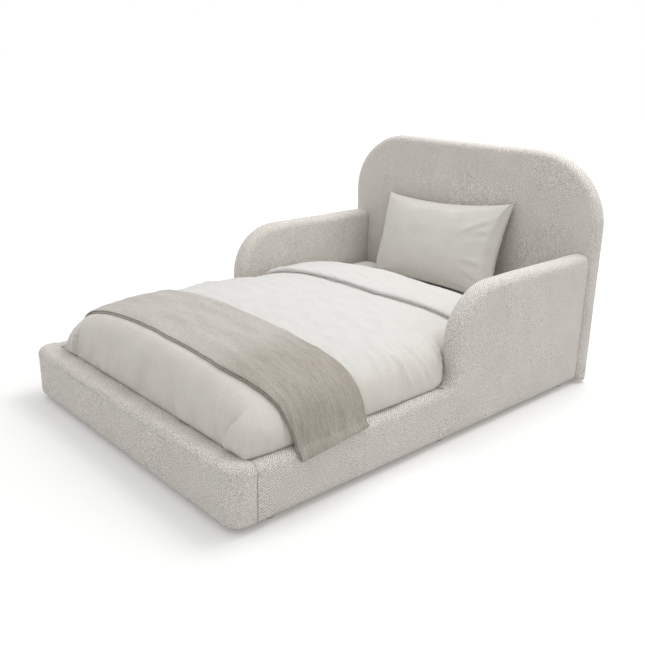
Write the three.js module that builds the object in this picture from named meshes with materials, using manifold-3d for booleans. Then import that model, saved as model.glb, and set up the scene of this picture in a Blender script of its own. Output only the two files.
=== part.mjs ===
// Upholstered toddler bed: padded headboard, footboard and guard-arm side rails on a slatted base,
// made up with mattress, fitted sheet, duvet, pillow and folded throw.
// Millimetres. X is the width, +Y points to the headboard, +Z is up, and the floor is z = 0.
import * as THREE from 'three';
import { mergeVertices } from 'three/addons/utils/BufferGeometryUtils.js';
import Module from 'manifold-3d';

const wasm = await Module();
wasm.setup();

// ---- Driving dimensions -------------------------------------------------------------------
const bedLength = 1457; // headboard's back to footboard's front
const railSpan = 1066; // over both side rails, and the footboard's width
const floorGap = 12; // glide height under the upholstery
const touch = 0.3; // gap between pieces that rest on or butt against each other
const sewn = 2; // upholstery cloth with its lining

const headboard = { proud: 12, top: 752, thickness: 52, edge: 19, cornerX: 248, cornerZ: 230,
  rim: 22, core: 24, backPanel: 4 }; // proud of each side rail
const footboard = { top: 170, thickness: 71, edge: 21, corner: 50, frontPad: 24, core: 25, rim: 20 };
const rail = { top: 166, thickness: 65, edge: 23, pad: 20, core: 25 };
const guard = { front: 762, top: 443, curve: 172, fillet: 35 }; // front is measured from the foot

const slat = { count: 12, width: 68, thickness: 14, top: 100, endGap: 2, eased: 3, inset: 36 };
const cleat = { width: 22, height: 30, endGap: 6 };
const beam = { width: 38, height: 38, eased: 3 };
const hanger = { wall: 2.5, depth: 38, earWidth: 24 };
const legs = { radius: 18, footRadius: 22, footHeight: 8, spacing: 460 };
const bracket = { leg: 84, wall: 3, overFloor: 24, underSlats: 16, boltEdge: 18 };
const bolt = { shank: 3, hole: 3.4, head: 7, headHeight: 4, length: 20, socket: 2.1 };
const strap = { width: 28, thickness: 2, offset: 300 };
const glide = { radius: 12, footRadius: 10, endInset: 55 };

const mattress = { sideGap: 20, endGap: 19, thickness: 140, edge: 26, corner: 40 };
const sheet = { cloth: 2, underlap: 60 };
const duvet = { foot: 56, bareHead: 280, overRail: 44, loft: 92, hemGap: 3, foldDepth: 297, fold: 13 };
const throwCloth = { front: 140, rear: 395, thickness: 8, lift: 1.2, hemDrop: 27 };
const pillow = { width: 560, height: 332, thickness: 118, rim: 7, pull: 0.055, lean: 20.5, x: -34 };
const caseCloth = 2;

// ---- Levels and lines that follow from them -----------------------------------------------
const yFoot = -bedLength / 2;
const yHead = bedLength / 2;
const railOuter = railSpan / 2;
const railInner = railOuter - rail.thickness;
const coreOuter = railOuter - rail.pad;
const coreInner = coreOuter - rail.core;
const railFront = yFoot + footboard.thickness + touch;
const railRear = yHead - headboard.thickness - touch;
const footCoreBack = yFoot + footboard.frontPad + footboard.core;
const headCoreFront = yHead - headboard.backPanel - headboard.core;
const slatBottom = slat.top - slat.thickness;
const padBottom = slat.top + 4; // padding on the well's walls stops just above the slat ends
const wellCentre = (railFront + railRear) / 2;
const mattressWidth = 2 * (railInner - mattress.sideGap);
const mattressLength = railRear - railFront - 2 * mattress.endGap;
const sheetSkin = touch + sheet.cloth; // what the fitted sheet adds on each side of the mattress
const sheetTop = slat.top + touch + mattress.thickness + 2 * sheetSkin;
const headHalf = railOuter + headboard.proud;

// ---- Finishes -----------------------------------------------------------------------------
const finish = (color, roughness, metalness = 0) =>
  new THREE.MeshStandardMaterial({ color, roughness, metalness });
const finishes = {
  upholstery: () => finish(0xbfbab2, 0.95),
  foam: () => finish(0xe9e2c8, 0.95),
  lining: () => finish(0x5a5855, 0.95),
  timber: () => finish(0xd9bd8f, 0.65),
  plywood: () => finish(0xc9a678, 0.7),
  steel: () => finish(0x2b2c2e, 0.5, 0.4),
  zinc: () => finish(0xb9bcc0, 0.35, 1),
  plastic: () => finish(0x1f1f20, 0.55),
  felt: () => finish(0xb4afa5, 0.95),
  webbing: () => finish(0xe4e1da, 0.9),
  ticking: () => finish(0xf0eee8, 0.9),
  linen: () => finish(0xdedcd7, 0.9),
  pillowcase: () => finish(0xcfccc5, 0.9),
  wool: () => finish(0xaaa398, 0.95),
};

const bed = new THREE.Group();
bed.name = 'toddler_bed';

function addPiece(name, geometry, material) {
  const mesh = new THREE.Mesh(geometry, finishes[material]());
  mesh.name = name;
  bed.add(mesh);
  return mesh;
}

// ---- Solids: geometry to manifold and back ------------------------------------------------
function solid(geometry) {
  const bare = geometry.clone();
  bare.deleteAttribute('normal');
  bare.deleteAttribute('uv');
  const merged = mergeVertices(bare, 1e-3);
  return new wasm.Manifold(new wasm.Mesh({
    numProp: 3,
    vertProperties: new Float32Array(merged.attributes.position.array),
    triVerts: new Uint32Array(merged.index.array),
  }));
}

function geometryOf(body) {
  const mesh = body.getMesh();
  const geometry = new THREE.BufferGeometry();
  geometry.setAttribute('position', new THREE.BufferAttribute(mesh.vertProperties, 3));
  geometry.setIndex(new THREE.BufferAttribute(mesh.triVerts, 1));
  const faceted = geometry.toNonIndexed();
  faceted.computeVertexNormals();
  return faceted;
}

const box = (x0, x1, y0, y1, z0, z1) =>
  new THREE.BoxGeometry(x1 - x0, y1 - y0, z1 - z0)
    .translate((x0 + x1) / 2, (y0 + y1) / 2, (z0 + z1) / 2);
const block = (...limits) => solid(box(...limits));

// Extrudes an outline to a thickness, with its rims rounded to the edge radius where one is given.
// Each quarter turn of the outline gets twice as many chords as arcSteps says.
function slab(outline, thickness, edge = 0, arcSteps = 4) {
  return new THREE.ExtrudeGeometry(outline, {
    depth: thickness - 2 * edge, curveSegments: arcSteps, bevelEnabled: edge > 0,
    bevelThickness: edge, bevelSize: edge, bevelOffset: -edge, bevelSegments: 3,
  }).translate(0, 0, edge);
}

// Stands a slab up: an outline drawn in (y, z) grows along +X, and one in (x, z) along -Y.
const alongX = (geometry) => geometry.applyMatrix4(
  new THREE.Matrix4().set(0, 0, 1, 0, 1, 0, 0, 0, 0, 1, 0, 0, 0, 0, 0, 1));
const alongY = (geometry) => geometry.rotateX(Math.PI / 2);

// A rectangle with its four corners rounded; upperSquare keeps the two at its upper y square.
function roundedRect(x0, x1, y0, y1, radius, upperSquare = false) {
  const shape = new THREE.Shape();
  const upper = upperSquare ? 0 : radius;
  shape.moveTo(x0 + radius, y0);
  shape.lineTo(x1 - radius, y0);
  shape.absarc(x1 - radius, y0 + radius, radius, -Math.PI / 2, 0, false);
  shape.lineTo(x1, y1 - upper);
  if (upper) shape.absarc(x1 - radius, y1 - radius, radius, 0, Math.PI / 2, false);
  shape.lineTo(x0 + upper, y1);
  if (upper) shape.absarc(x0 + radius, y1 - radius, radius, Math.PI / 2, Math.PI, false);
  shape.lineTo(x0, y0 + radius);
  shape.absarc(x0 + radius, y0 + radius, radius, Math.PI, 1.5 * Math.PI, false);
  return shape;
}

// ---- Side rails with guard arms -----------------------------------------------------------
// Outline in (y, z): a low rail that sweeps up through a fillet into the guard arm.
function railOutline(inset, y0, y1, z0) {
  const front = yFoot + guard.front;
  const filletY = front - guard.fillet;
  const filletZ = rail.top + guard.fillet;
  const curveY = front + guard.curve;
  const curveZ = guard.top - guard.curve;
  const shape = new THREE.Shape();
  shape.moveTo(y0, z0);
  shape.lineTo(y0, rail.top - inset);
  shape.lineTo(filletY, rail.top - inset);
  shape.absarc(filletY, filletZ, guard.fillet + inset, -Math.PI / 2, 0, false);
  shape.lineTo(front + inset, curveZ);
  shape.absarc(curveY, curveZ, guard.curve - inset, Math.PI, Math.PI / 2, true);
  shape.lineTo(y1, guard.top - inset);
  shape.lineTo(y1, z0);
  return shape;
}

// The padded rail's outer form on the +X side, pulled in by inset; its ends are cut square.
function railForm(inset) {
  const reach = 2 * rail.edge; // carries the rounded rims past the ends that are cut off
  const outline = railOutline(inset, railFront - reach, railRear + reach, floorGap + inset);
  const body = alongX(slab(outline, rail.thickness - 2 * inset, rail.edge - inset));
  return solid(body.translate(railInner + inset, 0, 0))
    .intersect(block(railInner - reach, railOuter + reach,
      railFront + inset, railRear - inset, 0, 2 * guard.top));
}

// The board inside, and with a negative ease the pocket that takes it.
function railBoard(ease, z0) {
  const end = sewn + 2 * touch;
  const outline = railOutline(rail.pad + ease, railFront + end + ease, railRear - end - ease, z0);
  return solid(alongX(slab(outline, rail.core - 2 * ease)).translate(coreInner + ease, 0, 0));
}

function makeRail() {
  const pocket = railBoard(-touch, 0);
  const openWell = block(railInner - 2, coreInner - touch, railFront - 1, railRear + 1, 0, padBottom);
  return {
    cover: railForm(0).subtract(railForm(sewn)).subtract(pocket).subtract(openWell),
    foam: railForm(sewn + touch).subtract(pocket).subtract(openWell),
    board: railBoard(0, floorGap).subtract(boltHoles('rail')),
  };
}

// ---- Headboard ----------------------------------------------------------------------------
// Outline in (x, z) with elliptical shoulders.
function headOutline(inset, z0) {
  const half = headHalf - inset;
  const rx = headboard.cornerX - inset;
  const rz = headboard.cornerZ - inset;
  const top = headboard.top - inset;
  const shape = new THREE.Shape();
  shape.moveTo(-half, z0);
  shape.lineTo(half, z0);
  shape.lineTo(half, top - rz);
  shape.absellipse(half - rx, top - rz, rx, rz, 0, Math.PI / 2, false);
  shape.lineTo(rx - half, top);
  shape.absellipse(rx - half, top - rz, rx, rz, Math.PI / 2, Math.PI, false);
  shape.lineTo(-half, z0);
  return shape;
}

function headForm(inset) {
  const outline = headOutline(inset, floorGap + inset);
  return solid(alongY(slab(outline, headboard.thickness - 2 * inset, headboard.edge - inset))
    .translate(0, yHead - inset, 0));
}

function makeHeadboard() {
  const front = headCoreFront;
  const back = yHead - headboard.backPanel;
  const pocket = solid(alongY(slab(headOutline(headboard.rim - touch, 0), 200))
    .translate(0, front - touch + 200, 0));
  const openWell = block(-coreInner, coreInner, yHead - headboard.thickness - 1, front, 0, padBottom);
  const board = (y0, y1) => alongY(slab(headOutline(headboard.rim, floorGap), y1 - y0))
    .translate(0, y1, 0);
  return {
    cover: headForm(0).subtract(headForm(sewn)).subtract(pocket).subtract(openWell),
    foam: headForm(sewn + touch).subtract(pocket).subtract(openWell),
    board: solid(board(front, back - touch)).subtract(boltHoles('head')),
    panel: board(back, yHead),
  };
}

// ---- Footboard ----------------------------------------------------------------------------
function footForm(inset) {
  const reach = footboard.edge; // its back is cut square where the rails butt on
  const outline = roundedRect(-railOuter + inset, railOuter - inset, yFoot + inset,
    yFoot + footboard.thickness + reach, footboard.corner - inset, true);
  const height = footboard.top - floorGap - 2 * inset;
  return solid(slab(outline, height, footboard.edge - inset).translate(0, 0, floorGap + inset))
    .intersect(block(-railSpan, railSpan, yFoot - 1, yFoot + footboard.thickness - inset, 0,
      2 * footboard.top));
}

// The board inside; its front corners are rounded to stay within the padding's rounded corners.
function footBoard(ease, z0) {
  const outline = roundedRect(-coreOuter + ease, coreOuter - ease, yFoot + footboard.frontPad + ease,
    footCoreBack - ease, footboard.core - 1 - ease, true);
  return slab(outline, footboard.top - footboard.rim - ease - z0).translate(0, 0, z0);
}

function makeFootboard() {
  const pocket = solid(footBoard(-touch, 0));
  const openWell = block(-coreInner, coreInner, footCoreBack - 1,
    yFoot + footboard.thickness + 1, 0, padBottom);
  return {
    cover: footForm(0).subtract(footForm(sewn)).subtract(pocket).subtract(openWell),
    foam: footForm(sewn + touch).subtract(pocket).subtract(openWell),
    board: solid(footBoard(0, floorGap)).subtract(boltHoles('foot')),
  };
}

// ---- Corner brackets and their bolts ------------------------------------------------------
// Four corners, each with the two directions in which its bracket's legs point.
const corners = [
  { name: 'front_right', x: coreInner, y: footCoreBack, sx: 1, sy: -1 },
  { name: 'front_left', x: -coreInner, y: footCoreBack, sx: -1, sy: -1 },
  { name: 'rear_right', x: coreInner, y: headCoreFront, sx: 1, sy: 1 },
  { name: 'rear_left', x: -coreInner, y: headCoreFront, sx: -1, sy: 1 },
];
const bracketTop = slatBottom - bracket.underSlats;
const boltZ = (bracket.overFloor + bracketTop) / 2;
const boltReach = bracket.leg - bracket.boltEdge; // from the bracket's corner to the bolt

// Bolts and holes are turned about Z so that they point out of the well, into the board.
const rod = (radius, length) =>
  new THREE.CylinderGeometry(radius, radius, length, 12).rotateZ(Math.PI / 2);

function placeAt(geometry, corner, onRail) {
  if (onRail)
    return geometry.rotateZ(Math.atan2(0, corner.sx))
      .translate(corner.x, corner.y - corner.sy * boltReach, boltZ);
  return geometry.rotateZ(Math.atan2(corner.sy, 0))
    .translate(corner.x - corner.sx * boltReach, corner.y, boltZ);
}

const boltHole = (corner, onRail) =>
  solid(placeAt(rod(bolt.hole, 2 * bolt.length + 4), corner, onRail));

// The two corners whose bolts enter a board.
const boltedCorners = {
  rail: corners.filter(({ sx }) => sx > 0),
  head: corners.filter(({ sy }) => sy > 0),
  foot: corners.filter(({ sy }) => sy < 0),
};

const boltHoles = (board) => boltedCorners[board]
  .map((corner) => boltHole(corner, board === 'rail')).reduce((a, b) => a.add(b));

function makeBracket(corner) {
  const flip = (a, b) => [Math.min(a, b), Math.max(a, b)];
  const inX = corner.x - corner.sx * touch;
  const inY = corner.y - corner.sy * touch;
  const z = [bracket.overFloor, bracketTop];
  const farX = flip(inX, inX - corner.sx * bracket.leg);
  const farY = flip(inY, inY - corner.sy * bracket.leg);
  const onRail = block(...flip(inX, inX - corner.sx * bracket.wall), ...farY, ...z);
  const onEnd = block(...farX, ...flip(inY, inY - corner.sy * bracket.wall), ...z);
  return onRail.add(onEnd).subtract(boltHole(corner, true)).subtract(boltHole(corner, false));
}

function makeBolt(corner, onRail) {
  const seat = -(bracket.wall + 2 * touch);
  const head = new THREE.SphereGeometry(bolt.head, 12, 8).scale(bolt.headHeight / bolt.head, 1, 1);
  const around = 2 * bolt.head;
  const dome = solid(head.translate(seat, 0, 0))
    .intersect(block(seat - around, seat, -around, around, -around, around));
  const socket = new THREE.CylinderGeometry(bolt.socket, bolt.socket, bolt.headHeight, 6)
    .rotateZ(Math.PI / 2).translate(seat - bolt.headHeight, 0, 0);
  const shank = rod(bolt.shank, bolt.length).translate(seat + bolt.length / 2 - 1, 0, 0);
  const body = dome.add(solid(shank)).subtract(solid(socket));
  return placeAt(geometryOf(body), corner, onRail);
}

// ---- Slatted base -------------------------------------------------------------------------
const slatSpan = mattressLength - 2 * slat.inset - slat.width;
const slatY = (i) => wellCentre - slatSpan / 2 + (slatSpan * i) / (slat.count - 1);

function makeSlat(y) {
  const outline = roundedRect(-slat.width / 2, slat.width / 2, 0, slat.thickness, slat.eased);
  const length = 2 * (coreInner - slat.endGap);
  return alongX(slab(outline, length, 0, 1)).translate(-length / 2, y, slatBottom);
}

function makeCleat(side) {
  const end = bracket.leg + cleat.endGap;
  const edges = [side * (coreInner - touch), side * (coreInner - touch - cleat.width)];
  return box(Math.min(...edges), Math.max(...edges), footCoreBack + end, headCoreFront - end,
    slatBottom - touch - cleat.height, slatBottom - touch);
}

const beamTop = slatBottom - touch;
const beamBottom = beamTop - beam.height;
const beamEnd = hanger.wall + 2 * touch; // the hanger's back plate stands behind the beam's end

function makeBeam() {
  const outline = roundedRect(-beam.width / 2, beam.width / 2, beamBottom, beamTop, beam.eased);
  const length = headCoreFront - footCoreBack - 2 * beamEnd;
  return alongY(slab(outline, length, 0, 1)).translate(0, headCoreFront - beamEnd, 0);
}

// A U-shaped hanger with a back plate and two ears, screwed to an end board; dir points into the bed.
function makeHanger(y, dir) {
  const inner = beam.width / 2 + touch;
  const outer = inner + hanger.wall;
  const base = beamBottom - touch - hanger.wall;
  const near = y + dir * touch;
  const depth = [near, near + dir * hanger.depth].sort((a, b) => a - b);
  const plate = [near, near + dir * hanger.wall].sort((a, b) => a - b);
  const wide = outer + hanger.earWidth;
  return block(-outer, outer, ...depth, base, beamTop)
    .subtract(block(-inner, inner, depth[0] - 1, depth[1] + 1, base + hanger.wall, beamTop + 1))
    .add(block(-wide, wide, ...plate, base, beamTop));
}

function makeLeg(y) {
  const top = beamBottom - touch;
  const profile = [[0, 0], [legs.footRadius - 2, 0], [legs.footRadius, 2],
    [legs.footRadius, legs.footHeight], [legs.radius, legs.footHeight + 4], [legs.radius, top], [0, top]];
  const points = profile.map(([r, z]) => new THREE.Vector2(r, z));
  return new THREE.LatheGeometry(points, 16).rotateX(Math.PI / 2).translate(0, y, 0);
}

function makeStrap(side) {
  const reach = slatSpan / 2 + slat.width / 2 - 6;
  const x = side * strap.offset;
  const top = slatBottom - touch;
  return box(x - strap.width / 2, x + strap.width / 2, wellCentre - reach, wellCentre + reach,
    top - strap.thickness, top);
}

function makeGlide(x, y) {
  const top = floorGap - touch;
  const points = [[0, 0], [glide.footRadius, 0], [glide.radius, 3], [glide.radius, top], [0, top]]
    .map(([r, z]) => new THREE.Vector2(r, z));
  return new THREE.LatheGeometry(points, 14).rotateX(Math.PI / 2).translate(x, y, 0);
}

// ---- Mattress and fitted sheet ------------------------------------------------------------
// The mattress's form grown by a skin all round, standing on the slats.
function mattressForm(grow) {
  const { thickness, edge, corner } = mattress;
  const halfWidth = mattressWidth / 2 + grow;
  const halfLength = mattressLength / 2 + grow;
  const outline = roundedRect(-halfWidth, halfWidth, -halfLength, halfLength, corner + grow);
  const base = slat.top + touch + sheetSkin;
  return slab(outline, thickness + 2 * grow, edge + grow, 2).translate(0, wellCentre, base - grow);
}

function makeSheet() {
  const x = mattressWidth / 2 - sheet.underlap;
  const y = mattressLength / 2 - sheet.underlap;
  const opening = block(-x, x, wellCentre - y, wellCentre + y, 0, slat.top + mattress.thickness / 2);
  return solid(mattressForm(sheetSkin)).subtract(solid(mattressForm(touch))).subtract(opening);
}

// ---- Duvet --------------------------------------------------------------------------------
// Stations from the foot: y from the footboard's front, side bulge, height scale, raised fold.
const duvetRear = bedLength - headboard.thickness - duvet.bareHead;
const foldStart = duvetRear - duvet.foldDepth;
const duvetCrown = sheetTop + duvet.loft;
// The tucked-in hem stays above the mattress's rounded lower edge, so the duvet lifts straight off.
const duvetHem = slat.top + mattress.edge + 2 * sheetSkin + duvet.hemGap;
const duvetStations = [
  { y: duvet.foot, reach: 0.9, rise: 0.26, fold: 0 },
  { y: duvet.foot + 8, reach: 0.95, rise: 0.5, fold: 0 },
  { y: duvet.foot + 28, reach: 0.975, rise: 0.72, fold: 0 },
  { y: duvet.foot + 56, reach: 0.99, rise: 0.87, fold: 0 },
  { y: throwCloth.front, reach: 1, rise: 0.93, fold: 0 },
  { y: throwCloth.front + 90, reach: 1, rise: 0.98, fold: 0 },
  { y: throwCloth.rear, reach: 1, rise: 1, fold: 0 },
  { y: (throwCloth.rear + foldStart) / 2, reach: 1, rise: 1, fold: 0 },
  { y: foldStart, reach: 1, rise: 0.97, fold: 0 },
  { y: foldStart + 5, reach: 1, rise: 0.97, fold: 1 },
  { y: (foldStart + duvetRear) / 2, reach: 1, rise: 0.92, fold: 1 },
  { y: duvetRear - 50, reach: 1, rise: 0.76, fold: 1 },
  { y: duvetRear - 12, reach: 1, rise: 0.56, fold: 1 },
  { y: duvetRear, reach: 1, rise: 0.3, fold: 1 },
];

// Half of the duvet's upper outline in (x, z), from the middle out to the bulge over the rail.
function duvetHalf({ reach, rise, fold }) {
  const side = (railInner + duvet.overRail) * reach;
  const height = (duvetCrown - rail.top) * rise + duvet.fold * fold;
  const drop = [[0, 1], [0.35, 0.965], [0.64, 0.87], [0.82, 0.745], [0.9, 0.655], [0.955, 0.53],
    [0.99, 0.36], [1, 0.16]];
  return drop.map(([u, v]) => [side * u, rail.top + height * v]);
}

// Joins rings of equal length, each a list of Vector3, into one closed body.
function loft(rings) {
  const n = rings[0].length;
  const position = rings.flat().flatMap((p) => [p.x, p.y, p.z]);
  const index = [];
  for (let j = 0; j + 1 < rings.length; j += 1)
    for (let i = 0; i < n; i += 1) {
      const a = j * n + i;
      const b = j * n + ((i + 1) % n);
      index.push(a, b, b + n, a, b + n, a + n);
    }
  const cap = (first, flip) => {
    const flat = rings[first / n].map((p) => new THREE.Vector2(p.x, p.z));
    for (const [a, b, c] of THREE.ShapeUtils.triangulateShape(flat, []))
      index.push(first + a, first + (flip ? c : b), first + (flip ? b : c));
  };
  cap(0, false);
  cap((rings.length - 1) * n, true);
  const geometry = new THREE.BufferGeometry();
  geometry.setAttribute('position', new THREE.Float32BufferAttribute(position, 3));
  geometry.setIndex(index);
  return geometry;
}

const ring = (points, y) => points.map(([x, z]) => new THREE.Vector3(x, yFoot + y, z));

function makeDuvet() {
  const rings = duvetStations.map((station) => {
    const half = duvetHalf(station);
    const skirt = [[railInner + 2, rail.top - 4], [railInner + 2, duvetHem]];
    const right = half.concat(skirt);
    const left = right.slice(1).reverse().map(([x, z]) => [-x, z]);
    return ring(left.concat(right), station.y);
  });
  const rails = railForm(-touch);
  return solid(loft(rings))
    .subtract(solid(mattressForm(sheetSkin + touch)))
    .subtract(rails).subtract(rails.mirror([1, 0, 0])).subtract(footForm(-touch));
}

// ---- Throw --------------------------------------------------------------------------------
// Follows the duvet's outline, lifted a little, and hangs over the right rail's rounded edge.
function makeThrow() {
  const stations = duvetStations.filter(({ y }) => y >= throwCloth.front && y <= throwCloth.rear);
  const arcX = railOuter - rail.edge;
  const arcZ = rail.top - rail.edge;
  const overRail = (angle) => [arcX + rail.edge * Math.cos(angle), arcZ + rail.edge * Math.sin(angle)];
  const rings = stations.map((station) => {
    const half = duvetHalf(station).slice(0, -1);
    const right = half.concat([1.15, 0.75, 0.35].map(overRail), [[railOuter, rail.top - throwCloth.hemDrop]]);
    const left = half.slice(1).concat([overRail(1.1)]).reverse().map(([x, z]) => [-x, z]);
    const path = left.concat(right);
    const offset = (distance) => path.map(([x, z], i) => {
      const [x0, z0] = path[Math.max(i - 1, 0)];
      const [x1, z1] = path[Math.min(i + 1, path.length - 1)];
      const length = Math.hypot(x1 - x0, z1 - z0);
      return [x - (distance * (z1 - z0)) / length, z + (distance * (x1 - x0)) / length];
    });
    const under = offset(throwCloth.lift).reverse();
    return ring(offset(throwCloth.lift + throwCloth.thickness).concat(under), station.y);
  });
  return loft(rings);
}

// ---- Pillow -------------------------------------------------------------------------------
// A lens whose sides pull in between its four corners, grown by a skin all round.
function pillowForm(grow) {
  const { width, height, thickness, rim, pull } = pillow;
  const across = 12;
  const up = 8;
  const position = [];
  const index = [];
  const count = (across + 1) * (up + 1);
  for (const side of [1, -1])
    for (let j = 0; j <= up; j += 1)
      for (let i = 0; i <= across; i += 1) {
        const u = Math.sin(((i / across) * 2 - 1) * Math.PI / 2);
        const v = Math.sin(((j / up) * 2 - 1) * Math.PI / 2);
        const swell = Math.sqrt((1 - Math.abs(u) ** 2.6) * (1 - Math.abs(v) ** 2.6));
        const x = u * (width / 2 + grow) * (1 - pull * (1 - v * v));
        const z = v * (height / 2 + grow) * (1 - pull * 1.3 * (1 - u * u));
        position.push(x, -side * ((rim + (thickness - rim) * swell) / 2 + grow), z);
      }
  const at = (side, i, j) => side * count + j * (across + 1) + i;
  const quad = (a, b, c, d) => index.push(a, b, c, a, c, d);
  for (let j = 0; j < up; j += 1)
    for (let i = 0; i < across; i += 1) {
      quad(at(0, i, j), at(0, i + 1, j), at(0, i + 1, j + 1), at(0, i, j + 1));
      quad(at(1, i, j), at(1, i, j + 1), at(1, i + 1, j + 1), at(1, i + 1, j));
    }
  const rimLoop = [];
  for (let i = 0; i < across; i += 1) rimLoop.push([i, 0]);
  for (let j = 0; j < up; j += 1) rimLoop.push([across, j]);
  for (let i = across; i > 0; i -= 1) rimLoop.push([i, up]);
  for (let j = up; j > 0; j -= 1) rimLoop.push([0, j]);
  rimLoop.forEach(([i, j], k) => {
    const [m, n] = rimLoop[(k + 1) % rimLoop.length];
    quad(at(0, i, j), at(1, i, j), at(1, m, n), at(0, m, n));
  });
  const geometry = new THREE.BufferGeometry();
  geometry.setAttribute('position', new THREE.Float32BufferAttribute(position, 3));
  geometry.setIndex(index);
  return geometry;
}

function makePillow() {
  const { width, height, rim } = pillow;
  const mouth = block(-width, -width * 0.42, -rim / 4, rim / 4, -height * 0.4, height * 0.4);
  const cover = solid(pillowForm(touch + caseCloth)).subtract(solid(pillowForm(touch))).subtract(mouth);
  const lean = -THREE.MathUtils.degToRad(pillow.lean);
  const pillowcase = geometryOf(cover).rotateX(lean);
  pillowcase.computeBoundingBox();
  const { min, max } = pillowcase.boundingBox;
  const shift = [pillow.x, yHead - headboard.thickness - touch - max.y, sheetTop + touch - min.z];
  return {
    pillowcase: pillowcase.translate(...shift),
    insert: geometryOf(solid(pillowForm(0))).rotateX(lean).translate(...shift),
  };
}

// ---- Assembly -----------------------------------------------------------------------------
const mirrored = (body) => body.mirror([1, 0, 0]);

const head = makeHeadboard();
addPiece('headboard_cover', geometryOf(head.cover), 'upholstery');
addPiece('headboard_foam', geometryOf(head.foam), 'foam');
addPiece('headboard_board', geometryOf(head.board), 'plywood');
addPiece('headboard_back_panel', head.panel, 'upholstery');

const foot = makeFootboard();
addPiece('footboard_cover', geometryOf(foot.cover), 'upholstery');
addPiece('footboard_foam', geometryOf(foot.foam), 'foam');
addPiece('footboard_board', geometryOf(foot.board), 'plywood');

const railParts = makeRail();
for (const [part, material] of [['cover', 'upholstery'], ['foam', 'foam'], ['board', 'plywood']]) {
  addPiece(`right_rail_${part}`, geometryOf(railParts[part]), material);
  addPiece(`left_rail_${part}`, geometryOf(mirrored(railParts[part])), material);
}

for (const corner of corners) {
  addPiece(`bracket_${corner.name}`, geometryOf(makeBracket(corner)), 'steel');
  addPiece(`rail_bolt_${corner.name}`, makeBolt(corner, true), 'zinc');
  addPiece(`end_bolt_${corner.name}`, makeBolt(corner, false), 'zinc');
}

for (let i = 0; i < slat.count; i += 1)
  addPiece(`slat_${String(i + 1).padStart(2, '0')}`, makeSlat(slatY(i)), 'timber');
addPiece('slat_strap_right', makeStrap(1), 'webbing');
addPiece('slat_strap_left', makeStrap(-1), 'webbing');
addPiece('cleat_right', makeCleat(1), 'timber');
addPiece('cleat_left', makeCleat(-1), 'timber');
addPiece('centre_beam', makeBeam(), 'timber');
addPiece('beam_hanger_front', geometryOf(makeHanger(footCoreBack, 1)), 'steel');
addPiece('beam_hanger_rear', geometryOf(makeHanger(headCoreFront, -1)), 'steel');
addPiece('centre_leg_front', makeLeg(wellCentre - legs.spacing / 2), 'plastic');
addPiece('centre_leg_rear', makeLeg(wellCentre + legs.spacing / 2), 'plastic');

const glideX = (coreInner + coreOuter) / 2;
const glideRows = { front: railFront + glide.endInset, middle: wellCentre, rear: railRear - glide.endInset };
for (const [row, y] of Object.entries(glideRows)) {
  addPiece(`glide_${row}_right`, makeGlide(glideX, y), 'felt');
  addPiece(`glide_${row}_left`, makeGlide(-glideX, y), 'felt');
}

addPiece('mattress', mattressForm(0), 'ticking');
addPiece('fitted_sheet', geometryOf(makeSheet()), 'linen');
addPiece('duvet', geometryOf(makeDuvet()), 'linen');
addPiece('throw_blanket', makeThrow(), 'wool');
const pillowParts = makePillow();
addPiece('pillow_insert', pillowParts.insert, 'ticking');
addPiece('pillowcase', pillowParts.pillowcase, 'pillowcase');

export default bed;
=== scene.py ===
# Upholstered toddler bed: fabric-covered headboard, footboard and guard-arm rails on a slatted
# base, made up with a mattress, fitted sheet, duvet, pillow and folded throw. Metres, Z up.
import bpy, bmesh, math
from mathutils import Matrix, Vector, noise
from mathutils.bvhtree import BVHTree


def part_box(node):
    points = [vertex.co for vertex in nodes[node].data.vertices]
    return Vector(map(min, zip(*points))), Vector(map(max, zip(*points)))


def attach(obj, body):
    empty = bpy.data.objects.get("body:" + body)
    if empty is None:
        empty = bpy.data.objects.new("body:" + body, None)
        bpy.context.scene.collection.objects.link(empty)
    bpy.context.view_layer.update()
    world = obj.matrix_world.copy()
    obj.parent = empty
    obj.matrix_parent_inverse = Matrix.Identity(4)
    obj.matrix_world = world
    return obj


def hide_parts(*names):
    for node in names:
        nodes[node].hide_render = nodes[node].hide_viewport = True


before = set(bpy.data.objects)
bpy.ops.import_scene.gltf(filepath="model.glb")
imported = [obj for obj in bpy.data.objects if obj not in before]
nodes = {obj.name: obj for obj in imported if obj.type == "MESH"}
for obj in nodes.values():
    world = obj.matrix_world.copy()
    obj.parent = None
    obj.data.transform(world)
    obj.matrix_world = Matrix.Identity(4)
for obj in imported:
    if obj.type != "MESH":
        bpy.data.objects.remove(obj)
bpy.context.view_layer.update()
scene = bpy.context.scene


# ---- Shader helpers ------------------------------------------------------------------------
def linear(code):  # sRGB hex to linear RGBA
    parts = [int(code[i:i + 2], 16) / 255 for i in (1, 3, 5)]
    return [c / 12.92 if c <= 0.04045 else ((c + 0.055) / 1.055) ** 2.4 for c in parts] + [1.0]


def addNode(tree, kind, settings=None, inputs=None):  # inputs take a value or another socket
    made = tree.nodes.new(kind)
    for name, value in (settings or {}).items():
        setattr(made, name, value)
    for name, value in (inputs or {}).items():
        socket = made.inputs[name]
        if isinstance(value, bpy.types.NodeSocket):
            tree.links.new(value, socket)
        else:
            socket.default_value = value
    return made


def mathNode(tree, operation, *values):
    return addNode(tree, "ShaderNodeMath", {"operation": operation},
                   dict(enumerate(values))).outputs[0]


def ranged(tree, value, low, high, start=0.0, end=1.0, kind="LINEAR"):
    return addNode(tree, "ShaderNodeMapRange", {"interpolation_type": kind},
                   {"Value": value, "From Min": low, "From Max": high,
                    "To Min": start, "To Max": end}).outputs[0]


def scaled(tree, place, scale):
    return addNode(tree, "ShaderNodeMapping", None, {"Vector": place, "Scale": scale}).outputs[0]


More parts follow.
